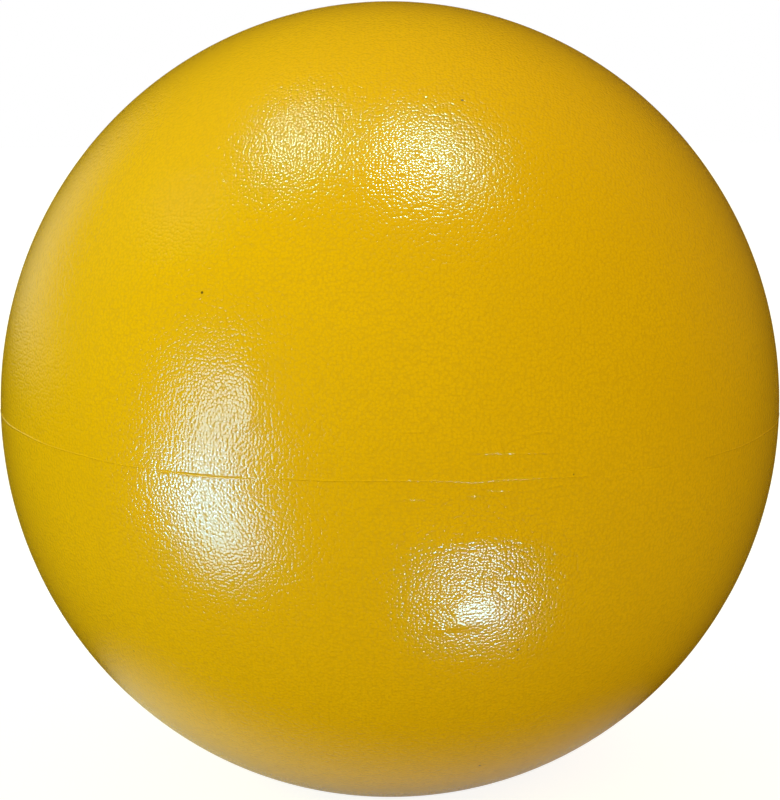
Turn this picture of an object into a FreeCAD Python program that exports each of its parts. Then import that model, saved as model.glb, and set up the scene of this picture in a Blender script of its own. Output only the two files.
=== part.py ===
import FreeCAD, Part

# Soft-shell medicine ball: a moulded vinyl skin that holds air and loose sand, and a push-in stopper.
#
# The ball stands on the floor at Z = 0 with its mould axis along +Z. The parting plane of the mould is
# level, at mid height, and the valve is in the upper back (+Y) half. All sizes are in millimetres.

import math
import os

from FreeCAD import Placement, Rotation, Vector

# ---- inflated skin ----
EQUATOR_DIAMETER = 200.0  # across the parting plane
POLAR_DIAMETER = 204.6  # along the mould axis, before the ball is set down
SKIN_WALL = 2.5
PRESSED_DEPTH = 4.0  # how far the ball's weight presses its base in
PRESSED_BLEND = 30.0  # radius with which the skin curves away from the floor

# ---- parting-line bead ----
BEAD_HEIGHT = 0.25
BEAD_WIDTH = 1.0

# ---- stopper ----
HEAD_DIAMETER = 12.6
HEAD_THICKNESS = 1.7
HEAD_CROWN = 0.35  # how much of the thickness is crown
HEAD_CLEARANCE = 0.3  # around the head, in its seat
HEAD_RECESS = 0.2  # from the head's crown up to the grommet's rim
SHANK_LENGTH = 15.0
SHANK_WALL = 1.5  # around the hollow core
CORE_ROOF = 2.2  # solid left between the hollow core and the head
RIB_COUNT = 4
RIB_WIDTH = 2.0
RIB_HEIGHT = 0.65
RIB_CLEARANCE = 0.05  # radial, once the ribs are squeezed into the bore
TIP_LENGTH = 2.4
TIP_TAPER = 0.5  # radial

# ---- valve grommet, bonded into the skin ----
BORE_DIAMETER = 8.0
BORE_CHAMFER = 0.6
RIM_WIDTH = 2.4  # of the ring around the stopper's seat
RIM_RECESS = 0.2  # below the edge of the hole in the skin
FLANGE_REACH = 6.0  # past the hole in the skin
FLANGE_THICKNESS = 1.8
NECK_WALL = 2.4
NECK_COVER = 2.3  # past the stopper's tip
NOTCH_RADIUS = 2.0  # thumbnail notch beside the stopper's head
NOTCH_DEPTH = 1.2

# ---- moulded boss that carries the valve ----
VALVE_LATITUDE = 40.0  # degrees above the parting plane
BOSS_MARGIN = 3.0  # past the grommet's flange
BOSS_STEP = 1.4  # inwards from the skin's inner face, at the boss's edge

# ---- loose sand ----
SAND_DEPTH = 62.2
SAND_CLEARANCE = 0.3

# ---- densities, in grams per cubic centimetre ----
VINYL_DENSITY = 1.2
STOPPER_DENSITY = 1.1
SAND_DENSITY = 1.6

# ---- radii worked out from the sizes above ----
EQUATOR_RADIUS = EQUATOR_DIAMETER / 2
POLAR_RADIUS = POLAR_DIAMETER / 2
CENTRE_HEIGHT = POLAR_RADIUS - PRESSED_DEPTH
HEAD_RADIUS = HEAD_DIAMETER / 2
SEAT_RADIUS = HEAD_RADIUS + HEAD_CLEARANCE
BORE_RADIUS = BORE_DIAMETER / 2
RIB_RADIUS = BORE_RADIUS - RIB_CLEARANCE
SHANK_RADIUS = RIB_RADIUS - RIB_HEIGHT
CORE_RADIUS = SHANK_RADIUS - SHANK_WALL
NECK_RADIUS = BORE_RADIUS + NECK_WALL
HOLE_RADIUS = SEAT_RADIUS + RIM_WIDTH
FLANGE_RADIUS = HOLE_RADIUS + FLANGE_REACH
BOSS_RADIUS = FLANGE_RADIUS + BOSS_MARGIN


# ---- heights in the valve's own frame: +Z leaves the ball, the origin is on the skin's surface ----
def skin_drop(radius):
    """How far the skin's surface has fallen away from its crown at that distance from it."""
    return EQUATOR_RADIUS - math.sqrt(EQUATOR_RADIUS**2 - radius**2)


BOSS_FACE = -skin_drop(BOSS_RADIUS) - SKIN_WALL - BOSS_STEP
FLANGE_FACE = BOSS_FACE - FLANGE_THICKNESS
RIM_FACE = -skin_drop(HOLE_RADIUS) - RIM_RECESS
SEAT_FACE = RIM_FACE - HEAD_RECESS - HEAD_THICKNESS
SHANK_TIP = SEAT_FACE - SHANK_LENGTH
NECK_TIP = SHANK_TIP - NECK_COVER

Z_AXIS = Vector(0, 0, 1)
ORIGIN = Vector(0, 0, 0)
FULL_TURN = 360  # degrees
SAME_HEIGHT = 0.01
MM3_PER_CM3 = 1000


# ---- drawing and placing ----
def at(radius, height):
    """The point at that radius and height, in the half-plane that profiles are drawn in."""
    return Vector(radius, 0, height)


def straight_edges(points):
    """Straight edges that join the points in order."""
    return [Part.makeLine(start, end) for start, end in zip(points, points[1:])]


def smooth_edge(points):
    """A smooth edge through the points in order."""
    curve = Part.BSplineCurve()
    curve.interpolate(points)
    return curve.toShape()


def oval_edge(oval, start, end):
    """The shorter way round the oval between two points on it."""
    first = oval.parameter(start)
    last = oval.parameter(end)
    if (last - first) % (2 * math.pi) > math.pi:
        first, last = last, first
    if last < first:
        last += 2 * math.pi
    return Part.ArcOfEllipse(oval, first, last).toShape()


def turned(edges):
    """Turn a closed run of edges once round the Z axis into a solid."""
    return Part.Face(Part.Wire(edges)).revolve(ORIGIN, Z_AXIS, FULL_TURN)


def widest_edge_at(solid, height):
    """The widest edge of a turned solid that lies wholly at that height."""

    def is_level(edge):
        box = edge.BoundBox
        return max(abs(box.ZMax - height), abs(box.ZMin - height)) < SAME_HEIGHT

    level_edges = [edge for edge in solid.Edges if not edge.Degenerated and is_level(edge)]
    return max(level_edges, key=lambda edge: edge.BoundBox.XMax)


def on_valve_axis(shape):
    """The shape, moved from the valve's own frame to its place in the upper back of the ball."""
    latitude = math.radians(VALVE_LATITUDE)
    along_y = EQUATOR_RADIUS * math.cos(latitude)
    along_z = POLAR_RADIUS * math.sin(latitude)
    outward = Vector(0, along_y / EQUATOR_RADIUS**2, along_z / POLAR_RADIUS**2)
    moved = shape.copy()
    moved.Placement = Placement(
        Vector(0, along_y, CENTRE_HEIGHT + along_z), Rotation(Z_AXIS, outward)
    ).multiply(shape.Placement)
    return moved


# ---- the ball's outline ----
def ball(inset, bead_height=0.0):
    """The standing ball as a full solid, taken in by inset on every side.

    It is an oval turned about the mould axis and cut off flat at the floor, with a soft edge there.
    A narrow belt round its middle stands proud by bead_height.
    """
    radius = EQUATOR_RADIUS - inset
    half_height = POLAR_RADIUS - inset
    top = at(0, CENTRE_HEIGHT + half_height)
    side = at(radius, CENTRE_HEIGHT)
    long_end, short_end = (top, side) if half_height > radius else (side, top)
    oval = Part.Ellipse(long_end, short_end, at(0, CENTRE_HEIGHT))

    def on_oval(height):
        return at(radius * math.sqrt(1 - ((height - CENTRE_HEIGHT) / half_height) ** 2), height)

    above_belt = on_oval(CENTRE_HEIGHT + BEAD_WIDTH / 2)
    below_belt = on_oval(CENTRE_HEIGHT - BEAD_WIDTH / 2)
    crest = at(radius + bead_height, CENTRE_HEIGHT)
    base_side = on_oval(inset)
    solid = turned(
        [
            oval_edge(oval, top, above_belt),
            smooth_edge([above_belt, crest, below_belt]),
            oval_edge(oval, below_belt, base_side),
            *straight_edges([base_side, at(0, inset), top]),
        ]
    )
    return solid.makeFillet(PRESSED_BLEND - inset, [widest_edge_at(solid, inset)])


# ---- outer skin ----
def outer_skin():
    """The one-piece moulded skin, with its parting-line bead, valve boss and valve hole."""
    boss = Part.makeCylinder(BOSS_RADIUS, -2 * BOSS_FACE, at(0, BOSS_FACE))
    boss_in_wall = on_valve_axis(boss).common(ball(SKIN_WALL / 2))
    hole = Part.makeCylinder(HOLE_RADIUS, -4 * BOSS_FACE, at(0, 2 * BOSS_FACE))
    shell = ball(0, BEAD_HEIGHT).cut(ball(SKIN_WALL))
    return shell.fuse(boss_in_wall).removeSplitter().cut(on_valve_axis(hole))


# ---- valve grommet ----
def valve_grommet():
    """The firm insert in the skin: a seat for the stopper's head, a bonded flange, a bored neck."""
    body = turned(
        straight_edges(
            [
                at(SEAT_RADIUS, RIM_FACE),
                at(HOLE_RADIUS, RIM_FACE),
                at(HOLE_RADIUS, BOSS_FACE),
                at(FLANGE_RADIUS, BOSS_FACE),
                at(FLANGE_RADIUS, FLANGE_FACE),
                at(NECK_RADIUS, FLANGE_FACE),
                at(NECK_RADIUS, NECK_TIP),
                at(BORE_RADIUS + BORE_CHAMFER, NECK_TIP),
                at(BORE_RADIUS, NECK_TIP + BORE_CHAMFER),
                at(BORE_RADIUS, SEAT_FACE - BORE_CHAMFER),
                at(BORE_RADIUS + BORE_CHAMFER, SEAT_FACE),
                at(SEAT_RADIUS, SEAT_FACE),
                at(SEAT_RADIUS, RIM_FACE),
            ]
        )
    )
    notch_centre = at(SEAT_RADIUS, RIM_FACE + NOTCH_RADIUS - NOTCH_DEPTH)
    return on_valve_axis(body.cut(Part.makeSphere(NOTCH_RADIUS, notch_centre)))


# ---- stopper ----
def stopper_rib(middle):
    """One rounded sealing rib of the stopper, at that height on its shank."""
    root = SHANK_RADIUS - SHANK_WALL / 2
    low = middle - RIB_WIDTH / 2
    high = middle + RIB_WIDTH / 2
    crest = at(RIB_RADIUS, middle)
    outer = Part.Arc(at(SHANK_RADIUS, low), crest, at(SHANK_RADIUS, high)).toShape()
    inner = straight_edges(
        [at(SHANK_RADIUS, high), at(root, high), at(root, low), at(SHANK_RADIUS, low)]
    )
    return turned([outer, *inner])


def crown_edge(radius, height, rise):
    """Half of a shallow crown, from its rim at that radius and height up to the axis."""
    sphere_radius = (radius**2 + rise**2) / (2 * rise)
    sphere_centre = at(0, height + rise - sphere_radius)
    half_angle = math.asin(radius / sphere_radius) / 2
    outward = at(math.sin(half_angle), math.cos(half_angle))
    midpoint = sphere_centre + outward * sphere_radius
    return Part.Arc(at(radius, height), midpoint, at(0, height + rise)).toShape()


def valve_plug():
    """The push-in stopper: a crowned head, a ribbed shank, and a hollow core that lets it squeeze."""
    head_edge = SEAT_FACE + HEAD_THICKNESS - HEAD_CROWN
    sides = straight_edges(
        [
            at(0, head_edge + HEAD_CROWN),
            at(0, SHANK_TIP),
            at(SHANK_RADIUS - TIP_TAPER, SHANK_TIP),
            at(SHANK_RADIUS, SHANK_TIP + TIP_LENGTH),
            at(SHANK_RADIUS, SEAT_FACE),
            at(HEAD_RADIUS, SEAT_FACE),
            at(HEAD_RADIUS, head_edge),
        ]
    )
    body = turned([crown_edge(HEAD_RADIUS, head_edge, HEAD_CROWN), *sides])
    rib_pitch = (SHANK_LENGTH - TIP_LENGTH) / RIB_COUNT
    ribs = [stopper_rib(SEAT_FACE - (i + 0.5) * rib_pitch) for i in range(RIB_COUNT)]
    core = Part.makeCylinder(CORE_RADIUS, SHANK_LENGTH - CORE_ROOF, at(0, SHANK_TIP))
    return on_valve_axis(body.fuse(ribs).removeSplitter().cut(core))


# ---- loose sand ----
def sand_fill():
    """The loose sand, settled level in the bottom of the skin."""
    inset = SKIN_WALL + SAND_CLEARANCE
    side = 2 * EQUATOR_DIAMETER
    below_level = Part.makeBox(side, side, inset + SAND_DEPTH, Vector(-side / 2, -side / 2, 0))
    return ball(inset).common(below_level)


# ---- every piece, one STEP file each ----
def main():
    """Build every piece, write it out, and print what it measures."""
    pieces = {
        "outer_skin": (outer_skin(), VINYL_DENSITY),
        "valve_grommet": (valve_grommet(), VINYL_DENSITY),
        "valve_plug": (valve_plug(), STOPPER_DENSITY),
        "sand_fill": (sand_fill(), SAND_DENSITY),
    }
    os.makedirs("parts", exist_ok=True)
    for name, (shape, density) in pieces.items():
        grams = shape.Volume / MM3_PER_CM3 * density
        box = shape.BoundBox
        print(f"{name}: {len(shape.Solids)} solid, valid {shape.isValid()}, {grams:.1f} g")
        print(f"  X {box.XMin:.2f} {box.XMax:.2f} Y {box.YMin:.2f} {box.YMax:.2f}")
        print(f"  Z {box.ZMin:.2f} {box.ZMax:.2f}")
        shape.exportStep(f"parts/{name}.step")


main()
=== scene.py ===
"""Looks of a soft-shell medicine ball: grained vinyl skin, valve, stopper, sand, and a small studio.

Everything is in metres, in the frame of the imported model: the ball stands on the floor at Z = 0 with its
mould axis upright, its front towards -Y and its valve in the upper back.
"""

import logging
import math
from dataclasses import dataclass
from enum import Enum
from typing import Callable, Sequence

import bpy
import numpy as np
from mathutils import Matrix, Vector

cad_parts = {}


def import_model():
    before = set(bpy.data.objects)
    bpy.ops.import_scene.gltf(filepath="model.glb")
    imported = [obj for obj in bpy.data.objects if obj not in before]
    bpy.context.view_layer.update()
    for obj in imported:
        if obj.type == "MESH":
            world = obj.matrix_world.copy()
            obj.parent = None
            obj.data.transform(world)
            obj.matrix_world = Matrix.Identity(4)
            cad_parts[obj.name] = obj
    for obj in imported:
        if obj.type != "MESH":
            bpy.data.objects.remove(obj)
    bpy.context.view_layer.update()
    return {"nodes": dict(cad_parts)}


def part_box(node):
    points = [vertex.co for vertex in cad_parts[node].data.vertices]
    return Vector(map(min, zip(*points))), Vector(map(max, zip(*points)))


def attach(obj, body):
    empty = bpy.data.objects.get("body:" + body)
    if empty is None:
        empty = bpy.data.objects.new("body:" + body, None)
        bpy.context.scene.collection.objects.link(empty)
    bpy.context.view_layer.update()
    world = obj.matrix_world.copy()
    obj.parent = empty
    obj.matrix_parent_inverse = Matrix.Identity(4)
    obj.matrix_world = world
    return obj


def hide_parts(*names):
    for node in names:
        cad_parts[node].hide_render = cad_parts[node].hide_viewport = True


log = logging.getLogger("medicine_ball")

MM = 0.001
SMOOTHNESS = "smoothness"
SMOOTH_ANGLE = math.radians(40)
BEVEL_ANGLE = math.radians(50)
AXIS_SHARE = 1e-3  # a ring this small beside the profile's smallest stands for a point on the axis
Vector3 = tuple[float, float, float]
Colour = tuple[float, float, float]
Array = np.ndarray
Object = bpy.types.Object
Node = bpy.types.Node
Socket = bpy.types.NodeSocket
Material = bpy.types.Material


# --- Modelling by hand: small wrappers round the edit-mode operators ---
def deselect_all() -> None:
    """Leave nothing selected, so that the next operator acts only on the new piece."""
    for item in bpy.context.selected_objects:
        item.select_set(False)


def newest(name: str) -> Object:
    """Name the object that was just added.

    Args:
        name: the piece's name.

    Returns:
        The object, still active and selected.
    """
    piece = bpy.context.active_object
    piece.name = piece.data.name = name
    return piece


def make_active(piece: Object) -> None:
    """Make one piece the active one, and the only one selected.

    Args:
        piece: the piece.
    """
    deselect_all()
    piece.select_set(True)
    bpy.context.view_layer.objects.active = piece


def apply_modifier(piece: Object, kind: str, **settings: object) -> None:
    """Add a modifier to a piece and apply it at once.

    Args:
        piece: the mesh object.
        kind: Blender's name for the modifier's type.
        settings: the modifier's own properties.
    """
    make_active(piece)
    modifier = piece.modifiers.new(kind.lower(), kind)
    for key, value in settings.items():
        setattr(modifier, key, value)
    bpy.ops.object.modifier_apply(modifier=modifier.name)


def cut_away(piece: Object, cutter: Object) -> None:
    """Cut the cutter's shape out of a piece and remove the cutter."""
    apply_modifier(piece, "BOOLEAN", operation="DIFFERENCE", object=cutter, solver="EXACT")
    bpy.data.objects.remove(cutter, do_unlink=True)


def lathe(name: str, profile: Sequence[tuple[float, float]], segments: int) -> Object:
    """Turn a closed profile round the Z axis, ring by ring, as on a lathe.

    Args:
        name: the piece's name.
        profile: (radius, height) pairs in metres, in order; a radius of nought closes on the axis.
        segments: how many sides each ring has.

    Returns:
        A closed mesh with its faces pointing outwards.
    """
    deselect_all()
    smallest = min(radius for radius, _ in profile if radius > 0) * AXIS_SHARE
    radius, height = max(profile[0][0], smallest), profile[0][1]
    bpy.ops.mesh.primitive_circle_add(
        vertices=segments, radius=radius, location=(0, 0, 0), fill_type="NOTHING"
    )
    piece = newest(name)
    bpy.ops.object.mode_set(mode="EDIT")
    bpy.ops.mesh.select_all(action="SELECT")
    bpy.ops.transform.translate(value=(0, 0, height))
    for next_radius, next_height in profile[1:]:
        next_radius = max(next_radius, smallest)
        bpy.ops.mesh.extrude_edges_move(
            TRANSFORM_OT_translate={"value": (0, 0, next_height - height)}
        )
        growth = next_radius / radius
        bpy.ops.transform.resize(
            value=(growth, growth, 1), center_override=(0, 0, next_height)
        )
        radius, height = next_radius, next_height
    bpy.ops.mesh.select_all(action="SELECT")
    bpy.ops.mesh.remove_doubles(threshold=smallest * 4)
    bpy.ops.mesh.normals_make_consistent(inside=False)
    bpy.ops.object.mode_set(mode="OBJECT")
    return piece


def settle(piece: Object, place: Matrix) -> None:
    """Move a piece's mesh to its place, and leave its object at the origin."""
    piece.data.transform(place)
    piece.data.update()


def vertex_array(mesh: bpy.types.Mesh) -> Array:
    """Read a mesh's vertices.

    Args:
        mesh: the mesh.

    Returns:
        Rows of x, y and z.
    """
    flat = np.empty(len(mesh.vertices) * 3)
    mesh.vertices.foreach_get("co", flat)
    return flat.reshape(-1, 3)


def set_vertices(mesh: bpy.types.Mesh, points: Array) -> None:
    """Move the mesh's vertices to the given rows of x, y and z."""
    mesh.vertices.foreach_set("co", points.astype(np.float32).ravel())
    mesh.update()


def globe(name: str, segments: int, rings: int) -> tuple[Object, Array, Array]:
    """Add a globe whose vertices are then placed by their angles.

    Args:
        name: the piece's name.
        segments: how many upright lines it has.
        rings: how many steps it has from top to bottom.

    Returns:
        The globe, each vertex's angle down from the top, and its angle round from the front.
    """
    deselect_all()
    bpy.ops.mesh.primitive_uv_sphere_add(segments=segments, ring_count=rings, radius=1.0)
    piece = newest(name)
    unit = vertex_array(piece.data)
    steepness = np.arccos(np.clip(unit[:, 2], -1, 1))
    return piece, steepness, np.arctan2(unit[:, 0], -unit[:, 1])


def turned_points(radius: Array, turn: Array, height: Array) -> Array:
    """Rows of x, y and z from radii, angles round from the front, and heights."""
    return np.stack([radius * np.sin(turn), -radius * np.cos(turn), height], axis=1)


def dress(piece: Object, material: Material) -> None:
    """Smooth a piece's shading, except over its sharp edges, and give it its finish.

    Args:
        piece: the piece.
        material: its finish.
    """
    make_active(piece)
    bpy.ops.object.shade_smooth_by_angle(angle=SMOOTH_ANGLE)
    piece.data.materials.clear()
    piece.data.materials.append(material)


def rounded_step(share: Array) -> Array:
    """Round off the two corners of an even ramp from nought to one."""
    return share * share * (3 - 2 * share)


# --- Node trees ---
MIX_INPUTS = (0, 6, 7)  # where a Mix node has its factor and its two colours
MIX_OUTPUT = 2


class Graph:
    """Adds nodes to one node tree and joins them."""

    def __init__(self, tree: bpy.types.NodeTree) -> None:
        """Start on a material's, world's or group's tree."""
        self.tree = tree

    def node(
        self, kind: str, values: dict[str | int, object] | None = None, **settings: object
    ) -> Node:
        """Add a node.

        Args:
            kind: the node type's name, without its "ShaderNode" prefix.
            values: what its inputs take, as feed has them.
            settings: the node's own properties.

        Returns:
            The new node.
        """
        made = self.tree.nodes.new("ShaderNode" + kind)
        for key, value in settings.items():
            setattr(made, key, value)
        self.feed(made, values or {})
        return made

    def feed(self, node: Node, values: dict[str | int, object]) -> None:
        """Give a node's inputs their values.

        Args:
            node: the node.
            values: by input's name or number, a value or another node's output.
        """
        for key, value in values.items():
            if isinstance(value, Socket):
                self.tree.links.new(value, node.inputs[key])
            else:
                node.inputs[key].default_value = value

    def math(self, operation: str, *values: object) -> Socket:
        """Add a Math node, whose values are numbers or outputs, and give its result."""
        return self.node("Math", dict(enumerate(values)), operation=operation).outputs[0]

    def dot(self, place: Socket, other: Vector3) -> Socket:
        """The dot product of a vector output and a fixed vector."""
        made = self.node("VectorMath", {0: place, 1: other}, operation="DOT_PRODUCT")
        return made.outputs["Value"]

    def ramp(self, value: Socket, low: float, high: float) -> Socket:
        """A smooth step of a value from nought at low to one at high."""
        return self.node(
            "MapRange",
            {"Value": value, "From Min": low, "From Max": high},
            interpolation_type="SMOOTHSTEP",
        ).outputs["Result"]

    def blend(self, factor: object, first: object, second: object) -> Socket:
        """Go from a first number to a second as a factor goes from nought to one."""
        step = self.math("SUBTRACT", second, first)
        return self.math("MULTIPLY_ADD", factor, step, first)

    def mix(self, factor: object, first: object, second: object) -> Socket:
        """Mix two colours.

        Args:
            factor: how much of the second shows, from nought to one.
            first: a colour or an output.
            second: a colour or an output.

        Returns:
            The mixed colour's socket.
        """
        colours = [c if isinstance(c, Socket) else (*c, 1.0) for c in (first, second)]
        values = dict(zip(MIX_INPUTS, (factor, *colours)))
        return self.node("Mix", values, data_type="RGBA").outputs[MIX_OUTPUT]


def new_group(
    name: str, inputs: dict[str, float], outputs: Sequence[str]
) -> tuple[Graph, Node, Node]:
    """Start a shader node group that works from a place.

    Args:
        name: the group's name.
        inputs: the starting value of each number that it takes beside the place.
        outputs: the names of the numbers that it gives.

    Returns:
        The group's graph, its input node and its output node.
    """
    tree = bpy.data.node_groups.new(name, "ShaderNodeTree")
    tree.interface.new_socket("Place", in_out="INPUT", socket_type="NodeSocketVector")
    for title, value in inputs.items():
        socket = tree.interface.new_socket(title, in_out="INPUT", socket_type="NodeSocketFloat")
        socket.default_value = value
    for title in outputs:
        tree.interface.new_socket(title, in_out="OUTPUT", socket_type="NodeSocketFloat")
    entry = tree.nodes.new("NodeGroupInput")
    leave = tree.nodes.new("NodeGroupOutput")
    return Graph(tree), entry, leave


PEBBLE_RANDOMNESS = 0.8  # how far the pebbles stray from even rows
PEBBLE_FALL = 2.4  # how steeply a pebble falls away from its top
RIPPLE_FINENESS = 0.36  # how fine the slow ripple under the pebbles is beside them
# The valley mask darkens the colour there as painted shade, and dulls the roughness
VALLEY_REACH = (0.25, 0.75)  # how far from a pebble's top its valley starts and is whole
CLOUD_REACH = (0.25, 0.75)  # the noise's values at which the tone starts and is whole
SPECK_REACH = (0.45 * MM, 0.2 * MM)  # how far from its middle a speck starts and is whole


def build_pebble_grain() -> bpy.types.NodeTree:
    """The moulded leather grain: rounded pebbles with fine valleys between them.

    Returns:
        A group from a place, a pitch, a depth and a flatness to a height in metres and a mask of
        the valleys. A flatness of one presses the grain away, and one below nought deepens it.
    """
    graph, entry, leave = new_group(
        "pebble_grain",
        {"Pitch": 0.7 * MM, "Depth": 0.03 * MM, "Flatness": 0.0},
        ("Height", "Valley"),
    )
    place, pitch = entry.outputs["Place"], entry.outputs["Pitch"]
    scale = graph.math("DIVIDE", 1.0, pitch)
    pebbles = {"Vector": place, "Scale": scale, "Randomness": PEBBLE_RANDOMNESS}
    distance = graph.node("TexVoronoi", pebbles).outputs["Distance"]
    fall = graph.math("MULTIPLY", distance, distance)
    slow_scale = graph.math("DIVIDE", RIPPLE_FINENESS, pitch)
    ripple = graph.node("TexNoise", {"Vector": place, "Scale": slow_scale, "Detail": 1.0})
    # Each pebble falls away as the square of the distance, so that its top is round.
    caps = graph.math("MULTIPLY_ADD", fall, -PEBBLE_FALL, ripple.outputs["Fac"])
    kept = graph.math("SUBTRACT", 1.0, entry.outputs["Flatness"])
    depth = graph.math("MULTIPLY", kept, entry.outputs["Depth"])
    height = graph.math("MULTIPLY", caps, depth)
    graph.feed(leave, {"Height": height, "Valley": graph.ramp(distance, *VALLEY_REACH)})
    return graph.tree


def build_tone_drift() -> bpy.types.NodeTree:
    """Slow cloudiness of a coloured moulding, and the odd dark speck in it.

    Returns:
        A group from a place and a patch size to a tone from nought to one and a mask of specks.
    """
    graph, entry, leave = new_group(
        "tone_drift", {"Patch": 40 * MM, "Speck Spacing": 18 * MM}, ("Tone", "Speck")
    )
    place, spacing = entry.outputs["Place"], entry.outputs["Speck Spacing"]
    cloud_scale = graph.math("DIVIDE", 1.0, entry.outputs["Patch"])
    noise = {"Vector": place, "Scale": cloud_scale, "Detail": 4.0, "Roughness": 0.55}
    tone = graph.ramp(graph.node("TexNoise", noise).outputs["Fac"], *CLOUD_REACH)
    dot_scale = graph.math("DIVIDE", 1.0, spacing)
    dots = graph.node("TexVoronoi", {"Vector": place, "Scale": dot_scale})
    distance = graph.math("MULTIPLY", dots.outputs["Distance"], spacing)
    graph.feed(leave, {"Tone": tone, "Speck": graph.ramp(distance, *SPECK_REACH)})
    return graph.tree


# --- Finishes ---
class SharedEffects:
    """The node groups that more than one material uses, each built once."""

    def __init__(self) -> None:
        """Build every group."""
        self.pebble_grain = build_pebble_grain()
        self.tone_drift = build_tone_drift()


def start_material(name: str) -> tuple[Material, Graph, Node, Socket]:
    """Start a material with one Principled shader.

    Args:
        name: the material's name.

    Returns:
        The material, its graph, the shader and the piece's own coordinates in metres.
    """
    material = bpy.data.materials.new(name)
    material.use_nodes = True
    graph = Graph(material.node_tree)
    shader = next(n for n in graph.tree.nodes if n.type == "BSDF_PRINCIPLED")
    place = graph.node("TexCoord").outputs["Object"]
    return material, graph, shader, place


def join_surface(
    graph: Graph, shader: Node, colour: Socket, rough: Socket, height: Socket
) -> None:
    """Join a surface's colour, roughness and relief in metres to its Principled shader."""
    bump = graph.node("Bump", {"Height": height, "Strength": 1.0, "Distance": 1.0}).outputs[0]
    graph.feed(shader, {"Base Color": colour, "Roughness": rough, "Normal": bump})


@dataclass(frozen=True)
class GrainedVinyl:
    """Soft coloured vinyl with a moulded leather grain."""

    name: str
    colour: Colour
    deep_colour: Colour
    # The colour in the grain's valleys: painted shade, standing in for the shading that the pebbles cast
    valley_painted_shade: Colour
    speck_colour: Colour
    grain_pitch: float
    grain_depth: float
    roughness: float
    valley_dulling: float
    gloss: float

    def material(self, effects: SharedEffects) -> Material:
        """Build the finish.

        Args:
            effects: the shared node groups.

        Returns:
            The material.
        """
        material, graph, shader, place = start_material(self.name)
        worn = graph.node("Attribute", attribute_name=SMOOTHNESS).outputs["Fac"]
        size = {"Pitch": self.grain_pitch, "Depth": self.grain_depth}
        values = {"Place": place, "Flatness": worn, **size}
        grain = graph.node("Group", values, node_tree=effects.pebble_grain)
        drift = graph.node("Group", {"Place": place}, node_tree=effects.tone_drift)
        toned = graph.mix(drift.outputs["Tone"], self.deep_colour, self.colour)
        valley = grain.outputs["Valley"]
        # The grain's valleys are darkened in the base colour: painted shade where the pebbles shade each
        # other. The same valley mask also dulls the roughness.
        shaded = graph.mix(valley, toned, self.valley_painted_shade)
        specked = graph.mix(drift.outputs["Speck"], shaded, self.speck_colour)
        rough = graph.math("MULTIPLY_ADD", valley, self.valley_dulling, self.roughness)
        join_surface(graph, shader, specked, rough, grain.outputs["Height"])
        graph.feed(shader, {"Specular IOR Level": self.gloss})
        return material


@dataclass(frozen=True)
class MouldedPlastic:
    """Smooth moulded plastic with a faint ripple and slight cloudiness."""

    name: str
    colour: Colour
    deep_colour: Colour
    roughness: float
    roughness_spread: float = 0.15
    cloud_size: float = 4 * MM
    ripple_fineness: float = 900.0
    ripple_depth: float = 0.02 * MM

    def material(self, effects: SharedEffects) -> Material:
        """Build the finish.

        Args:
            effects: the shared node groups.

        Returns:
            The material.
        """
        material, graph, shader, place = start_material(self.name)
        clouds = {"Place": place, "Patch": self.cloud_size}
        drift = graph.node("Group", clouds, node_tree=effects.tone_drift)
        toned = graph.mix(drift.outputs["Tone"], self.deep_colour, self.colour)
        noise = {"Vector": place, "Scale": self.ripple_fineness, "Detail": 3.0, "Roughness": 0.6}
        ripple = graph.node("TexNoise", noise).outputs["Fac"]
        height = graph.math("MULTIPLY", ripple, self.ripple_depth)
        rough = graph.math("MULTIPLY_ADD", ripple, self.roughness_spread, self.roughness)
        join_surface(graph, shader, toned, rough, height)
        return material


@dataclass(frozen=True)
class LooseSand:
    """Dry sand: pale and dark grains side by side."""

    name: str
    pale: Colour
    dark: Colour
    grain: float
    roundness: float = 0.6
    roughness: float = 0.6
    roughness_spread: float = 0.3

    def material(self) -> Material:
        """Build the finish.

        Returns:
            The material.
        """
        material, graph, shader, place = start_material(self.name)
        cells = graph.node("TexVoronoi", {"Vector": place, "Scale": 1 / self.grain})
        split = graph.node("SeparateColor", {"Color": cells.outputs["Color"]})
        colour = graph.mix(split.outputs[0], self.dark, self.pale)
        fall = graph.math("MULTIPLY", cells.outputs["Distance"], -self.roundness * self.grain)
        rough = graph.math(
            "MULTIPLY_ADD", split.outputs[1], self.roughness_spread, self.roughness
        )
        join_surface(graph, shader, colour, rough, fall)
        return material


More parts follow.
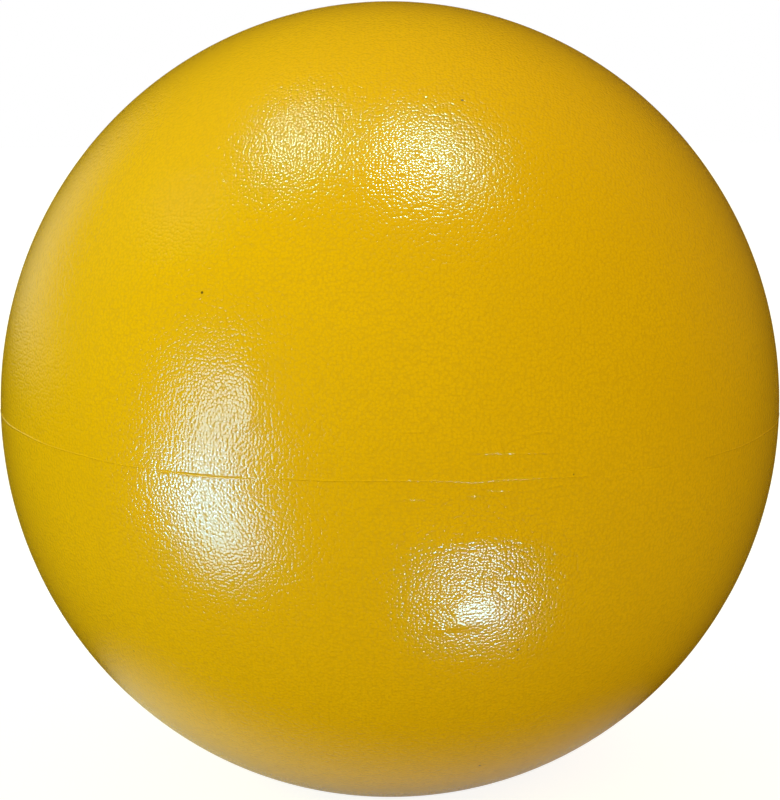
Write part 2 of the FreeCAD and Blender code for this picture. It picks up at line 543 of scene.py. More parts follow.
# --- The ball's outline, and where the valve is ---
@dataclass(frozen=True)
class BallForm:
    """The standing ball's outline, taken from the frame."""

    bead_height: float = 0.25 * MM
    pressed_depth: float = 4.0 * MM
    pressed_radius: float = 25.0 * MM
    soft_edge: float = 0.35  # how rounded the flat base's edge is, as a share of the pressed depth
    soft_low: float = 5.0 * MM  # up to this height the outline is the pressed one,
    soft_high: float = 20.0 * MM  # and from this height it is the plain oval
    skin_wall: float = 2.5 * MM
    valve_latitude: float = math.radians(40)

    @property
    def equator_radius(self) -> float:
        """The skin's radius at the parting plane, without the bead."""
        low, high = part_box("outer_skin")
        return (high[0] - low[0]) / 2 - self.bead_height

    @property
    def polar_radius(self) -> float:
        """Half the ball's height before it is set down."""
        low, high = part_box("outer_skin")
        return (high[2] - low[2] + self.pressed_depth) / 2

    @property
    def centre_height(self) -> float:
        """The parting plane's height above the floor."""
        return self.polar_radius - self.pressed_depth

    def outline(self, steepness: Array, inset: float) -> tuple[Array, Array]:
        """The outline's radius and height, with the base pressed flat.

        Args:
            steepness: the oval's own angle, from nought at the top to pi at the bottom.
            inset: how far inside the skin's surface, in metres.

        Returns:
            Radius and height of each point.
        """
        radius = (self.equator_radius - inset) * np.sin(steepness)
        height = self.centre_height + (self.polar_radius - inset) * np.cos(steepness)
        # A smooth maximum of the oval's height and the floor gives the soft edge of the flat base.
        blend = self.pressed_depth * self.soft_edge
        gap = height - inset
        lifted = 0.5 * (gap + np.sqrt(gap**2 + blend**2))
        weight = (self.soft_high - gap) / (self.soft_high - self.soft_low)
        smooth = rounded_step(np.clip(weight, 0, 1))
        base = lifted - 0.5 * blend * np.clip(1 - radius / self.pressed_radius, 0, 1)
        return radius, inset + (1 - smooth) * gap + smooth * np.maximum(base, 0)

    def valve_place(self) -> Matrix:
        """Find the valve's place in the ball.

        Returns:
            The turn and shift from the valve's own frame, whose +Z leaves the ball.
        """
        a, c = self.equator_radius, self.polar_radius
        y = a * math.cos(self.valve_latitude)
        z = c * math.sin(self.valve_latitude)
        outward = Vector((0, y / a**2, z / c**2)).normalized()
        turn = Vector((0, 0, 1)).rotation_difference(outward).to_matrix().to_4x4()
        return Matrix.Translation((0, y, self.centre_height + z)) @ turn


# --- The skin ---
class CreaseProfile(Enum):
    """How a crease looks in section."""

    SOFT = "rounded all over"
    SHARP = "two slopes that meet in a line"


@dataclass(frozen=True)
class Crease:
    """A crease: a shallow line, sunk or raised, that fades out at both its ends.

    Places are (across, up) in metres, from the middle of the front on the parting plane.
    """

    start: tuple[float, float]
    end: tuple[float, float]
    rise: float  # above nought is raised, below is sunk
    half_width: float
    bow: float = 0.0  # how far its middle stands off the straight line
    fade: float = 0.25  # share of the length that each end takes to fade
    top_rounding: float = 0.08  # share of the half-width by which a sharp line's top is rounded
    profile: CreaseProfile = CreaseProfile.SOFT

    def height(self, across: Array, up: Array) -> Array:
        """The crease's height at each place.

        Args:
            across: places across the front.
            up: places above the parting plane.

        Returns:
            Heights in metres.
        """
        run = np.array(self.end) - np.array(self.start)
        length = float(np.hypot(*run))
        along_unit = run / length
        dx = across - self.start[0]
        dz = up - self.start[1]
        along = (dx * along_unit[0] + dz * along_unit[1]) / length
        off = -dx * along_unit[1] + dz * along_unit[0]
        middle = self.bow * 4 * along * (1 - along)
        ends = np.clip(along / self.fade, 0, 1) * np.clip((1 - along) / self.fade, 0, 1)
        reach = np.abs(off - middle) / self.half_width
        if self.profile is CreaseProfile.SHARP:
            section = np.exp(self.top_rounding - np.hypot(reach, self.top_rounding))
        else:
            section = np.exp(-(reach**2))
        return self.rise * rounded_step(ends) * section


@dataclass(frozen=True)
class Swell:
    """A shallow rise or hollow, oval and without edges."""

    centre: tuple[float, float]
    reach: tuple[float, float]
    rise: float

    def height(self, across: Array, up: Array) -> Array:
        """The swell's height at each place.

        Args:
            across: places across the front.
            up: places above the parting plane.

        Returns:
            Heights in metres.
        """
        dx = (across - self.centre[0]) / self.reach[0]
        dz = (up - self.centre[1]) / self.reach[1]
        return self.rise * np.exp(-(dx**2) - dz**2)


# How many millimetres the skin's rings and upright lines lie apart, and where they lie closer: from
# one height to another in millimetres over the parting plane, and in degrees away from the front.
RING_SPACING = 2.8
FINE_RINGS = ((40, 92, 1.4), (-46, 16, 0.6), (-38, -12, 0.3), (-5, 11, 0.15), (-0.6, 0.6, 0.075))
SEGMENT_SPACING = 3.4
FINE_SEGMENTS = ((-1, 42, 0.75), (165, 181, 1.4))


def crowded_angles(
    span: tuple[float, float, int],
    measure: Callable[[Array], Array],
    spacing: float,
    finer: Sequence[tuple[float, float, float]],
) -> Array:
    """Angles that crowd together where the surface has fine detail.

    Args:
        span: the first angle, the last angle, and how many steps lie between them.
        measure: turns angles into the measure that the finer rows go by.
        spacing: how far apart the angles lie.
        finer: the rows from, to and spacing of closer stretches, the later over the earlier.

    Returns:
        The rising angles.
    """
    low, high, count = span
    fine = np.linspace(low, high, 40001)
    places = measure((fine[1:] + fine[:-1]) / 2)
    crowd = np.full_like(places, 1 / spacing)
    for start, end, closer in finer:
        crowd[(places > start) & (places < end)] = 1 / closer
    total = np.concatenate([[0], np.cumsum(crowd)])
    return np.interp(np.linspace(0, total[-1], count + 1), total, fine)


@dataclass
class BallSkin:
    """The one-piece moulded skin: outline, parting line, creases, inner wall, boss and valve hole."""

    form: BallForm
    vinyl: Material
    ring_count: int = 340
    segment_count: int = 372
    line_half_width: float = 0.12 * MM
    line_rise: float = 0.11 * MM
    unevenness: float = 0.045 * MM
    hole_radius: float = 9.0 * MM
    hole_rounding: float = 0.5 * MM
    boss_radius: float = 18.0 * MM
    boss_face: float = -5.53 * MM
    boss_length: float = 20.0 * MM
    drill_reach: float = 14.0 * MM
    creases: tuple[Crease, ...] = ()
    swells: tuple[Swell, ...] = ()
    smooth_patches: tuple[Swell, ...] = ()

    def build(self) -> Object:
        """Model the skin and dress it.

        Returns:
            The finished piece.
        """
        skin = self.outer_wall()
        self.add_inner_wall(skin)
        self.open_valve_hole(skin)
        self.mark_smooth_patches(skin)
        dress(skin, self.vinyl)
        return skin

    def outer_wall(self) -> Object:
        """Model the outer wall as a re-spaced globe with its line, creases and swells.

        Returns:
            The skin, still without its inner wall.
        """
        skin, steepness, turn = globe("ball_skin", self.segment_count, self.ring_count)
        span = (0, math.pi, self.ring_count)
        rings = crowded_angles(span, self.height_in_mm, RING_SPACING, FINE_RINGS)
        steepness = np.interp(steepness, np.linspace(0, math.pi, self.ring_count + 1), rings)
        span = (-math.pi, math.pi, self.segment_count)
        lines = crowded_angles(span, lambda a: np.degrees(np.abs(a)), SEGMENT_SPACING, FINE_SEGMENTS)
        turn = np.interp(turn, np.linspace(-math.pi, math.pi, self.segment_count + 1), lines)
        set_vertices(skin.data, self.surface(steepness, turn))
        return skin

    def height_in_mm(self, steepness: Array) -> Array:
        """Millimetres above the parting plane at angles down from the top."""
        return self.form.polar_radius * np.cos(steepness) / MM

    def surface(self, steepness: Array, turn: Array) -> Array:
        """The outer surface's points.

        Args:
            steepness: the oval's angle down from the top.
            turn: the angle round from the front, positive to the right.

        Returns:
            Rows of x, y and z.
        """
        a, c = self.form.equator_radius, self.form.polar_radius
        level = c * np.cos(steepness)
        # The rings near the parting plane follow the line as it wanders up and down.
        shift = self.wander(turn) * np.exp(-((level / (14 * MM)) ** 4))
        steepness = np.arccos(np.clip((level + shift) / c, -1, 1))
        radius, height = self.form.outline(steepness, 0.0)
        across = a * np.sin(turn) * np.sin(steepness)
        up = c * np.cos(steepness)
        front = np.clip(np.cos(turn) * 3, 0, 1)  # fades out before the sides
        rise = self.line_profile(level, turn) + self.slight_waves(turn, up)
        for mark in (*self.creases, *self.swells):
            rise = rise + mark.height(across, up) * front
        normal_r = np.sin(steepness) / a
        normal_z = np.cos(steepness) / c
        norm = np.hypot(normal_r, normal_z)
        rise = rise * np.clip((height - 4 * MM) / (10 * MM), 0, 1)  # none on the pressed base
        radius = radius + rise * normal_r / norm
        height = height + rise * normal_z / norm
        return turned_points(radius, turn, height)

    def wander(self, turn: Array) -> Array:
        """How far the parting line strays up or down: it leans to the right, and waves.

        Args:
            turn: angles round from the front.

        Returns:
            Shifts in metres.
        """
        lean = -0.45 * MM - 1.3 * MM * np.sin(turn)
        waves = 0.45 * MM * np.cos(5 * turn - 0.15) + 0.08 * MM * np.sin(23 * turn + 1.0)
        sag = -0.32 * MM * np.exp(-(((turn - math.radians(10.5)) / math.radians(1.6)) ** 2))
        return lean + waves + sag

    def slight_waves(self, turn: Array, up: Array) -> Array:
        """The unevenness of a soft skin that is only lightly filled.

        Args:
            turn: angles round from the front.
            up: places above the parting plane.

        Returns:
            Heights in metres.
        """
        lift = up / (20 * MM)
        waves = (
            np.sin(3 * turn + 1.3 * lift + 0.5)
            + np.sin(7 * turn - 0.9 * lift + 2.1)
            + 0.7 * np.sin(5 * turn + 2.3 * lift + 4.0)
        )
        return self.unevenness * waves / 2.7 * np.clip(2 - np.abs(lift) / 2.2, 0, 1)

    def line_profile(self, level: Array, turn: Array) -> Array:
        """The parting line's height: a fine ridge, an open slit and a groove, one after another.

        Args:
            level: height above the line, in metres.
            turn: the angle round from the front.

        Returns:
            Heights in metres.
        """
        degrees = np.degrees(turn)
        ridge = np.exp(-((level / self.line_half_width) ** 2))
        beads = 0.72 + 0.22 * np.sin(degrees * 4.1 + 1.0) * np.sin(degrees * 1.7)
        beads = beads + 0.26 * np.sin(degrees * 9.7) * np.sin(degrees * 0.61 + 0.8)
        middle = 0.75 + 0.25 * np.exp(-(((degrees - 6) / 9) ** 2))
        slit = np.exp(-(((degrees + 24) / 7.5) ** 4))
        gape = 1.3 + 0.7 * np.exp(-(((degrees + 24) / 2.2) ** 2)) + 0.4 * np.sin(degrees * 2.9)
        groove = np.exp(-(((degrees - 36) / 10) ** 4))
        lip = 0.8 * np.exp(-(((level + 0.32 * MM) / (0.2 * MM)) ** 2))
        section = 2.0 * (1 - slit - groove) * beads * middle * ridge
        section = section + slit * (lip - gape * ridge) - 0.55 * groove * ridge
        return np.minimum(self.line_rise * section, self.form.bead_height)

    def add_inner_wall(self, skin: Object) -> None:
        """Give the skin its inner wall, with the boss that carries the valve.

        Args:
            skin: the outer wall, which takes the inner wall in.
        """
        cavity, steepness, turn = globe("cavity", segments=96, rings=64)
        radius, height = self.form.outline(steepness, self.form.skin_wall)
        set_vertices(cavity.data, turned_points(radius, turn, height))
        deselect_all()
        bpy.ops.mesh.primitive_cylinder_add(
            vertices=64,
            radius=self.boss_radius,
            depth=self.boss_length,
            location=(0, 0, self.boss_face + self.boss_length / 2),
        )
        boss = newest("boss")
        bpy.ops.object.transform_apply(location=True, rotation=True, scale=True)
        settle(boss, self.form.valve_place())
        cut_away(cavity, boss)
        make_active(cavity)
        bpy.ops.object.mode_set(mode="EDIT")
        bpy.ops.mesh.select_all(action="SELECT")
        bpy.ops.mesh.flip_normals()
        bpy.ops.object.mode_set(mode="OBJECT")
        make_active(skin)
        cavity.select_set(True)
        bpy.ops.object.join()

    def open_valve_hole(self, skin: Object) -> None:
        """Cut the hole that the grommet sits in, with a rounded lip, through the skin and the boss.

        Args:
            skin: the skin with its inner wall.
        """
        reach, rounding = self.drill_reach, self.hole_rounding
        steps = [(self.hole_radius, -reach), (self.hole_radius, -self.sagitta - rounding)]
        for step in range(1, 5):
            angle = math.radians(90 * step / 4)
            flare = rounding * (1 - math.cos(angle))
            depth = self.sagitta + rounding * (1 - math.sin(angle))
            steps.append((self.hole_radius + flare, -depth))
        steps.append((self.hole_radius + rounding * 1.3, reach))
        drill = lathe("drill", [(0, -reach), *steps, (0, reach)], 96)
        settle(drill, self.form.valve_place())
        cut_away(skin, drill)

    @property
    def sagitta(self) -> float:
        """How far the ball's surface falls from the valve's middle to the hole's edge."""
        mean = (self.form.equator_radius + self.form.polar_radius) / 2
        return mean - math.sqrt(mean**2 - self.hole_radius**2)

    def mark_smooth_patches(self, skin: Object) -> None:
        """Record where the grain is pressed flat, or drawn deeper, for the finish to read.

        Args:
            skin: the skin, which gets an attribute for it.
        """
        points = vertex_array(skin.data)
        across, up = points[:, 0], points[:, 2] - self.form.centre_height
        flat = np.zeros(len(points))
        for patch in self.smooth_patches:
            flat = flat + patch.height(across, up)
        flat = np.where(points[:, 1] < 0, flat, 0)
        layer = skin.data.attributes.new(SMOOTHNESS, "FLOAT", "POINT")
        layer.data.foreach_set("value", flat.astype(np.float32))


# --- The valve and the sand ---
@dataclass
class Valve:
    """The grommet in the skin and the push-in stopper in it, both turned on the valve's axis."""

    form: BallForm
    grommet_rubber: Material
    stopper_plastic: Material
    segments: int = 96
    rim_face: float = -0.606 * MM
    seat_face: float = -2.506 * MM
    boss_face: float = -5.534 * MM
    flange_face: float = -7.334 * MM
    neck_tip: float = -19.806 * MM
    seat_radius: float = 6.6 * MM
    hole_radius: float = 9.0 * MM
    flange_radius: float = 15.0 * MM
    neck_radius: float = 6.4 * MM
    bore_radius: float = 4.0 * MM
    bore_chamfer: float = 0.6 * MM
    notch_radius: float = 2.0 * MM
    notch_depth: float = 1.2 * MM
    head_radius: float = 6.3 * MM
    head_thickness: float = 1.7 * MM
    head_crown: float = 0.35 * MM
    shank_radius: float = 3.3 * MM
    shank_tip: float = -17.506 * MM
    rib_radius: float = 3.95 * MM
    rib_count: int = 4
    rib_width: float = 2.0 * MM
    tip_radius: float = 2.8 * MM
    tip_length: float = 2.4 * MM
    core_radius: float = 1.8 * MM
    core_roof: float = 2.2 * MM
    grommet_rounding: float = 0.22 * MM
    stopper_rounding: float = 0.3 * MM

    def build_grommet(self) -> Object:
        """Model the grommet: seat, rim, bonded flange, bored neck and thumbnail notch.

        Returns:
            The finished piece.
        """
        chamfered = self.bore_radius + self.bore_chamfer
        profile = [
            (self.seat_radius, self.rim_face),
            (self.hole_radius, self.rim_face),
            (self.hole_radius, self.boss_face),
            (self.flange_radius, self.boss_face),
            (self.flange_radius, self.flange_face),
            (self.neck_radius, self.flange_face),
            (self.neck_radius, self.neck_tip),
            (chamfered, self.neck_tip),
            (self.bore_radius, self.neck_tip + self.bore_chamfer),
            (self.bore_radius, self.seat_face - self.bore_chamfer),
            (chamfered, self.seat_face),
            (self.seat_radius, self.seat_face),
            (self.seat_radius, self.rim_face),
        ]
        grommet = lathe("valve_grommet_ring", profile, self.segments)
        deselect_all()
        bpy.ops.mesh.primitive_uv_sphere_add(
            segments=32,
            ring_count=16,
            radius=self.notch_radius,
            location=(self.seat_radius, 0, self.rim_face + self.notch_radius - self.notch_depth),
        )
        notch = newest("notch")
        bpy.ops.object.transform_apply(location=True, rotation=True, scale=True)
        cut_away(grommet, notch)
        self.finish(grommet, self.grommet_rubber, self.grommet_rounding)
        return grommet

    def build_stopper(self) -> Object:
        """Model the stopper: crowned head, ribbed shank and hollow core.

        Returns:
            The finished piece.
        """
        head_edge = self.seat_face + self.head_thickness - self.head_crown
        profile = [(0.0, head_edge + self.head_crown)]
        for step in range(1, 9):
            share = step / 8
            crown = self.head_crown * (1 - share**2)
            profile.append((self.head_radius * share, head_edge + crown))
        profile += [(self.head_radius, self.seat_face), (self.shank_radius, self.seat_face)]
        pitch = (self.seat_face - self.shank_tip - self.tip_length) / self.rib_count
        for rib in range(self.rib_count):
            middle = self.seat_face - (rib + 0.5) * pitch
            for step in range(7):
                angle = math.pi * step / 6
                swell = (self.rib_radius - self.shank_radius) * math.sin(angle)
                height = middle + self.rib_width / 2 * math.cos(angle)
                profile.append((self.shank_radius + swell, height))
        core_top = self.seat_face - self.core_roof
        profile += [
            (self.shank_radius, self.shank_tip + self.tip_length),
            (self.tip_radius, self.shank_tip),
            (self.core_radius, self.shank_tip),
            (self.core_radius, core_top),
            (0.0, core_top),
        ]
        stopper = lathe("valve_stopper", profile, self.segments)
        self.finish(stopper, self.stopper_plastic, self.stopper_rounding)
        return stopper

    def finish(self, piece: Object, material: Material, rounding: float) -> None:
        """Round the moulded edges, dress the piece and put it in its place.

        Args:
            piece: the piece, still on the valve's own axis.
            material: its finish.
            rounding: the width of its rounded edges, in metres.
        """
        edges = {"limit_method": "ANGLE", "angle_limit": BEVEL_ANGLE}
        apply_modifier(piece, "BEVEL", width=rounding, segments=3, **edges)
        dress(piece, material)
        settle(piece, self.form.valve_place())


@dataclass
class SandBed:
    """The loose sand that lies in the bottom of the ball."""

    form: BallForm
    sand: Material
    clearance: float = 0.3 * MM
    dune: float = 1.2 * MM

    def build(self) -> Object:
        """Model the sand as a dish with an uneven top, and dress it.

        Returns:
            The finished piece.
        """
        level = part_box("sand_fill")[1][2]
        bed, steepness, turn = globe("sand_bed", segments=128, rings=96)
        inset = self.form.skin_wall + self.clearance
        edge = math.acos((level - self.form.centre_height) / (self.form.polar_radius - inset))
        half = math.pi / 2
        below = edge + (steepness - half) / half * (math.pi - edge)
        radius, height = self.form.outline(np.maximum(below, edge), inset)
        top = steepness < half
        share = np.clip(steepness / half, 0, 1)
        radius = np.where(top, radius * share, radius)
        x, y = radius * np.sin(turn), -radius * np.cos(turn)
        dunes = np.sin(x / (17 * MM) + 0.6) * np.cos(y / (13 * MM))
        dunes = dunes + 0.4 * np.sin((x + y) / (6 * MM))
        sunk = self.dune * (0.5 + 0.35 * dunes) * (1 - share**6)
        height = np.where(top, level - sunk, height)
        set_vertices(bed.data, turned_points(radius, turn, height))
        dress(bed, self.sand)
        return bed


# --- Studio ---
class LampShape(Enum):
    """A lamp's outline, by Blender's names."""

    RECTANGLE = "RECTANGLE"
    ELLIPSE = "ELLIPSE"


@dataclass(frozen=True)
class Lamp:
    """A flat soft lamp that shows only as a reflection; the room gives the matt light."""

    name: str
    place: Vector3
    facing: Vector3
    along: Vector3
    width: float
    length: float
    radiance: float
    tint: Colour
    shape: LampShape = LampShape.RECTANGLE

    def build(self) -> Object:
        """Hang the lamp.

        Returns:
            The lamp's object.
        """
        deselect_all()
        bpy.ops.object.light_add(type="AREA", location=self.place)
        lamp = bpy.context.active_object
        lamp.name = self.name
        lamp.data.shape = self.shape.value
        lamp.data.size = self.width
        lamp.data.size_y = self.length
        area = self.width * self.length
        if self.shape is LampShape.ELLIPSE:
            area *= math.pi / 4
        lamp.data.energy = self.radiance * math.pi * area
        lamp.data.color = self.tint
        back = -Vector(self.facing).normalized()
        side = Vector(self.along).cross(back).normalized()
        turn = Matrix((side, back.cross(side), back)).transposed()
        lamp.rotation_euler = turn.to_euler()
        lamp.visible_camera = False
        lamp.visible_diffuse = False
        return lamp


@dataclass(frozen=True)
class Studio:
    """A pale floor, a soft room and the lamps.

    The camera, the matt light and the reflections each see the floor and the room at strengths of
    their own. The camera's own are floor_seen and floor_lift, and backdrop for the room.
    """

    lamps: tuple[Lamp, ...]
    floor_side: float = 6.0
    floor_seen: float = 0.35
    floor_bounce: float = 0.36
    # Painted light: the matt light sees a brighter floor near the ball, which lights the ball's underside
    floor_bounce_near: float = 0.7
    near_reach: tuple[float, float] = (0.5, 0.15)
    # Painted reflection: how pale the floor looks to reflections inside the pool round the ball, and
    # beyond it
    painted_reflection_near: float = 0.45
    painted_reflection_far: float = 0.02
    # The painted pool of light that reflections see round the ball: its glow, its middle, its size and its
    # soft edge
    painted_pool_light: float = 0.28
    pool_centre: tuple[float, float] = (-0.017, 0.0)
    pool_reach: tuple[float, float] = (0.08, 0.058)
    pool_edge: tuple[float, float] = (1.35, 0.8)
    room_level: float = 0.70
    room_lean: Vector3 = (-0.44, -0.41, 0.39)
    room_least: float = 0.35
    room_green: float = 1.0
    room_green_lean: Vector3 = (-0.25, 0.03, -0.07)
    room_blue: float = 0.95
    room_front_blue: float = 0.18
    backdrop: float = 1.0
    floor_lift: float = 0.88
    wall_level: float = 0.45
    wall_least: float = 0.015
    wall_slope: float = -0.9
    wall_near: tuple[float, float] = (0.40, 0.46)
    wall_right: tuple[float, float] = (-0.36, -0.6)
    wall_foot: tuple[float, float] = (-0.12, 0.02)
    front_to_back: tuple[float, float] = (-0.1, 0.5)

    def build(self) -> None:
        """Lay the floor, light the room and hang the lamps."""
        self.lay_floor()
        self.light_room()
        for lamp in self.lamps:
            lamp.build()
        bpy.context.scene.view_settings.view_transform = "Standard"

    def lay_floor(self) -> None:
        """Lay a plain matt floor that carries painted light round the ball: a pale, glowing oval pool and
        a dark floor beyond it that only reflections see, and a brighter floor near the ball for the matt
        light.
        """
        deselect_all()
        bpy.ops.mesh.primitive_plane_add(size=self.floor_side)
        floor = newest("floor")
        material, graph, shader, place = start_material("matt_floor")
        split = graph.node("SeparateXYZ", {"Vector": place})
        across = graph.math("SUBTRACT", split.outputs["X"], self.pool_centre[0])
        along = graph.math("SUBTRACT", split.outputs["Y"], self.pool_centre[1])
        across = graph.math("DIVIDE", across, self.pool_reach[0])
        along = graph.math("DIVIDE", along, self.pool_reach[1])
        squares = graph.math("MULTIPLY_ADD", across, across, graph.math("MULTIPLY", along, along))
        near = graph.ramp(graph.math("SQRT", squares), *self.pool_edge)
        span = graph.node("VectorMath", {0: place}, operation="LENGTH").outputs["Value"]
        # Painted bounce light: the floor is paler near the ball for the matt light only
        bounce = graph.blend(
            graph.ramp(span, *self.near_reach), self.floor_bounce, self.floor_bounce_near
        )
        # Reflections see a painted pool: a pale floor round the ball and a dark one beyond it
        gloss = graph.math(
            "MULTIPLY_ADD", near, self.painted_reflection_near - self.painted_reflection_far, self.painted_reflection_far
        )
        path = graph.node("LightPath").outputs
        unseen = graph.blend(path["Is Glossy Ray"], bounce, gloss)
        level = graph.blend(path["Is Camera Ray"], unseen, self.floor_seen)
        shade = graph.node("CombineColor", {"Red": level, "Green": level, "Blue": level})
        # The pool also glows in reflections: painted light
        pool = graph.math("MULTIPLY", path["Is Glossy Ray"], near)
        pool = graph.math("MULTIPLY", pool, self.painted_pool_light)
        lift = graph.math("MULTIPLY_ADD", path["Is Camera Ray"], self.floor_lift, pool)
        graph.feed(shader, {"Base Color": shade.outputs["Color"], "Emission Strength": lift})
        matt = {"Emission Color": (1, 1, 1, 1), "Roughness": 1.0, "Specular IOR Level": 0.0}
        graph.feed(shader, matt)
        floor.data.materials.append(material)

    def light_room(self) -> None:
        """Light the room softly from the front left, with one pale wall far behind on the left."""
        world = bpy.data.worlds.new("room")
        bpy.context.scene.world = world
        world.use_nodes = True
        world.cycles.sampling_method = "NONE"
        graph = Graph(world.node_tree)
        background = next(n for n in graph.tree.nodes if n.type == "BACKGROUND")
        direction = graph.node("TexCoord").outputs["Generated"]
        lean = graph.math("ADD", graph.dot(direction, self.room_lean), self.room_level)
        soft = graph.math("MAXIMUM", lean, self.room_least)
        split = graph.node("SeparateXYZ", {"Vector": direction})
        x, y, z = split.outputs
        edge = graph.math("MULTIPLY_ADD", z, self.wall_slope, y)
        wall = graph.math(
            "MULTIPLY", graph.ramp(edge, *self.wall_near), graph.ramp(x, *self.wall_right)
        )
        wall = graph.math("MULTIPLY", wall, graph.ramp(z, *self.wall_foot))
        wall = graph.math("MULTIPLY_ADD", wall, self.wall_level, self.wall_least)
        path = graph.node("LightPath").outputs
        unseen = graph.blend(path["Is Glossy Ray"], soft, wall)
        level = graph.blend(path["Is Camera Ray"], unseen, self.backdrop)
        green = graph.dot(direction, self.room_green_lean)
        green = graph.math("ADD", green, self.room_green)
        backness = graph.ramp(y, *self.front_to_back)
        blue = graph.blend(backness, self.room_front_blue, self.room_blue)
        tint = graph.node("CombineColor", {"Red": 1.0, "Green": green, "Blue": blue})
        tint = graph.mix(path["Is Camera Ray"], tint.outputs["Color"], (1, 1, 1))
        graph.feed(background, {"Strength": level, "Color": tint})


@dataclass(frozen=True)
class Viewpoint:
    """The camera: where it stands and how long its lens is."""

    target: Vector3
    distance: float = 0.55
    elevation: float = math.radians(10.0)
    lens: float = 94.8
    roll: float = math.radians(-0.4)

    def build(self) -> None:
        """Set up the camera and make it the scene's own."""
        deselect_all()
        flat = self.distance * math.cos(self.elevation)
        up = self.distance * math.sin(self.elevation)
        target = Vector(self.target)
        place = target + Vector((0, -flat, up))
        bpy.ops.object.camera_add(location=place)
        camera = bpy.context.active_object
        camera.name = "camera"
        facing = (target - place).to_track_quat("-Z", "Y")
        camera.rotation_euler = (facing.to_matrix() @ Matrix.Rotation(self.roll, 3, "Z")).to_euler()
        camera.data.lens = self.lens
        camera.data.clip_start = 0.01
        bpy.context.scene.camera = camera


# --- Putting it together ---
YELLOW_VINYL = GrainedVinyl(
    name="yellow_grained_vinyl",
    colour=(0.90, 0.53, 0.001),
    deep_colour=(0.86, 0.50, 0.001),
    # Painted shade in the grain's valleys
    valley_painted_shade=(0.82, 0.475, 0.001),
    speck_colour=(0.16, 0.10, 0.02),
    grain_pitch=0.75 * MM,
    grain_depth=0.039 * MM,
    roughness=0.125,
    valley_dulling=0.06,
    gloss=0.6,
)
YELLOW_RUBBER = MouldedPlastic(
    name="yellow_valve_rubber",
    colour=(0.76, 0.39, 0.004),
    deep_colour=(0.70, 0.35, 0.004),
    roughness=0.38,
)
WHITE_PLASTIC = MouldedPlastic(
    name="white_stopper_plastic",
    colour=(0.80, 0.79, 0.74),
    deep_colour=(0.74, 0.73, 0.67),
    roughness=0.28,
)
FILL_SAND = LooseSand(
    name="fill_sand", pale=(0.62, 0.51, 0.35), dark=(0.36, 0.27, 0.17), grain=0.5 * MM
)


def marks(
    scale: float, profile: CreaseProfile, rows: Sequence[tuple[float, ...]]
) -> tuple[Crease, ...]:
    """Make creases from rows of measures in millimetres.

    Args:
        scale: how strongly they all stand out.
        profile: how they look in section.
        rows: x and height of the start, x and height of the end, rise, half-width, bow.

    Returns:
        The creases.
    """
    made = []
    for x, up, end_x, end_up, rise, half_width, bow in rows:
        start, end = (x * MM, up * MM), (end_x * MM, end_up * MM)
        made.append(Crease(start, end, scale * rise * MM, half_width * MM, bow * MM, profile=profile))
    return tuple(made)


HAIRLINES = marks(
    2.8,
    CreaseProfile.SOFT,
    (
        (14.0, 5.9, 40.0, 4.2, 0.05, 0.16, 0.0),
        (2.0, 10.5, 8.5, 10.4, 0.04, 0.17, 0.0),
        (27.5, 7.7, 36.5, 8.2, 0.05, 0.22, 1.4),
        (15.5, -1.6, 30.0, -3.4, 0.04, 0.16, -0.3),
        (30.0, -3.4, 39.0, -2.4, 0.04, 0.16, -0.2),
        (1.5, -4.1, 9.5, -4.2, 0.04, 0.16, 0.0),
        (15.5, -3.7, 22.5, -4.0, 0.04, 0.16, 0.0),
        (24.0, -9.6, 36.5, -9.7, 0.05, 0.4, 1.0),
    ),
)
FOLD_LINES = marks(
    1.0,
    CreaseProfile.SOFT,
    (
        (10.0, -21.4, 17.0, -24.4, -0.10, 0.42, 0.4),
        (17.0, -22.6, 36.0, -24.8, -0.12, 0.45, 0.5),
        (21.0, -24.6, 27.0, -29.6, -0.11, 0.4, 0.3),
        (15.0, -29.9, 19.5, -28.8, -0.05, 0.3, 0.2),
        (14.0, -35.2, 17.0, -35.4, -0.05, 0.4, 0.0),
        (8.0, -28.4, 13.6, -38.2, 0.08, 0.55, -1.2),
    ),
)
EDGE_LINES = marks(
    1.0,
    CreaseProfile.SHARP,
    (
        (14.2, -26.5, 15.0, -36.5, 0.24, 4.0, 0.0),
        (-30.3, 29.0, -30.4, 8.5, 0.36, 6.0, 0.0),
    ),
)
FOLD_SWELLS = (
    Swell((21 * MM, -14.4 * MM), (15 * MM, 4.6 * MM), 0.5 * MM),
    Swell((20 * MM, -31 * MM), (9 * MM, 6 * MM), 0.05 * MM),
)
SMOOTH_PATCHES = (
    Swell((19 * MM, -22 * MM), (24 * MM, 19 * MM), -0.65),
    Swell((19 * MM, -32 * MM), (6.5 * MM, 5.5 * MM), 0.8),
    Swell((-38 * MM, -16 * MM), (6 * MM, 5 * MM), 0.15),
    Swell((-22 * MM, 20 * MM), (8 * MM, 10 * MM), 0.5),
)

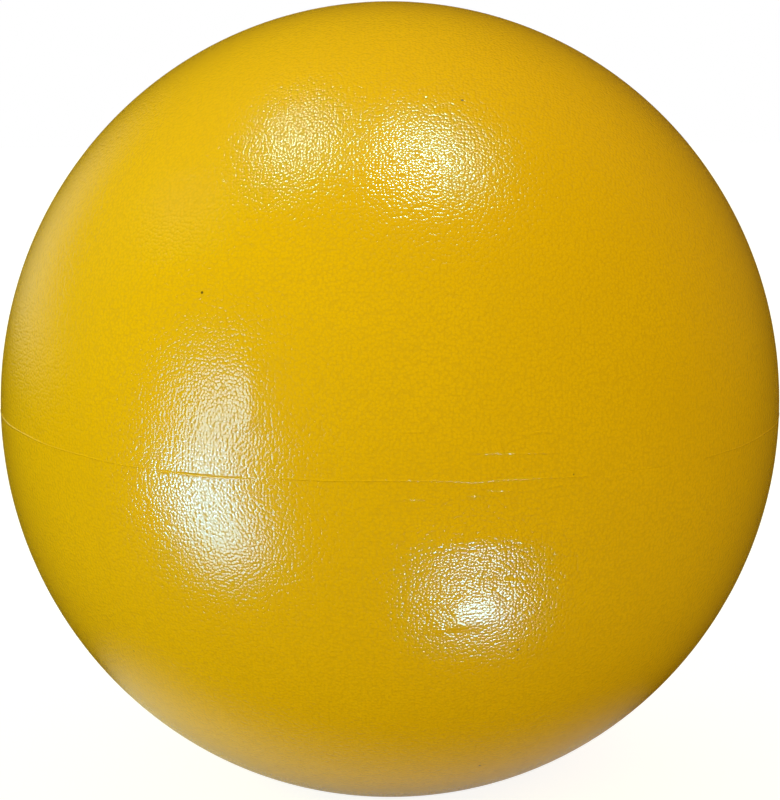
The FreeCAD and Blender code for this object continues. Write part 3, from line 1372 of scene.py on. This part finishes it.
DAYLIGHT = (0.16, 0.66, 1.0)
PANEL_WHITE = (0.30, 0.78, 1.0)
COOL_WHITE = (0.30, 1.0, 0.88)
LAMPS = (
    Lamp(
        "overhead_left", (-0.365, -0.088, 1.108), (0.345, 0.020, -0.94), (0.36, 0.93, 0.1),
        0.055, 0.18, 60.0, COOL_WHITE,
    ),
    Lamp(
        "overhead_right", (0.122, -0.268, 1.135), (-0.11, 0.20, -0.97), (0, 1, 0),
        0.08, 0.075, 170.0, COOL_WHITE,
    ),
    Lamp(
        "overhead_far_right", (0.275, -0.280, 1.10), (-0.26, 0.21, -0.93), (1, 0.2, 0),
        0.08, 0.1, 38.0, COOL_WHITE,
    ),
    Lamp(
        "far_left", (-0.785, -0.08, 0.834), (0.74, 0.01, -0.68), (0, 1, 0),
        0.07, 0.07, 7.0, COOL_WHITE,
    ),
    Lamp(
        "window", (-0.490, -0.483, 0.112), (0.773, 0.626, -0.05), (0, 0, 1),
        0.21, 0.31, 11.0, DAYLIGHT, LampShape.ELLIPSE,
    ),
    Lamp(
        "window_glare", (-0.245, -0.221, 0.014), (0.78, 0.54, 0.35), (0, 0, 1),
        0.065, 0.085, 34.0, DAYLIGHT, LampShape.ELLIPSE,
    ),
    Lamp(
        "window_foot", (-0.130, -0.172, 0.006), (0.08, 0.065, 0.08), (0.8, 0.6, 0),
        0.06, 0.085, 13.0, DAYLIGHT, LampShape.ELLIPSE,
    ),
    Lamp(
        "low_panel", (0.048, -0.144, 0.003), (-0.018, 0.040, 0.068), (1, 0.4, 0),
        0.032, 0.040, 27.0, PANEL_WHITE, LampShape.ELLIPSE,
    ),
)


def main() -> None:
    """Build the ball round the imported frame, then the studio, and report each piece."""
    logging.basicConfig(level=logging.INFO, format="%(name)s: %(message)s")
    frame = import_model()
    effects = SharedEffects()
    form = BallForm()

    skin = BallSkin(
        form,
        YELLOW_VINYL.material(effects),
        creases=(*HAIRLINES, *FOLD_LINES, *EDGE_LINES),
        swells=FOLD_SWELLS,
        smooth_patches=SMOOTH_PATCHES,
    ).build()
    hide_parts("outer_skin")
    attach(skin, "ball")

    valve = Valve(form, YELLOW_RUBBER.material(effects), WHITE_PLASTIC.material(effects))
    grommet = valve.build_grommet()
    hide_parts("valve_grommet")
    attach(grommet, "ball")
    stopper = valve.build_stopper()
    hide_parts("valve_plug")
    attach(stopper, "stopper")

    sand = SandBed(form, FILL_SAND.material()).build()
    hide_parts("sand_fill")
    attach(sand, "ball")

    for piece in (skin, grommet, stopper, sand):
        log.info("%s has %d faces", piece.name, len(piece.data.polygons))
    Viewpoint(target=(0, 0, form.centre_height)).build()
    Studio(LAMPS).build()
    log.info("frame holds %d nodes", len(frame["nodes"]))


if __name__ == "__main__":
    main()
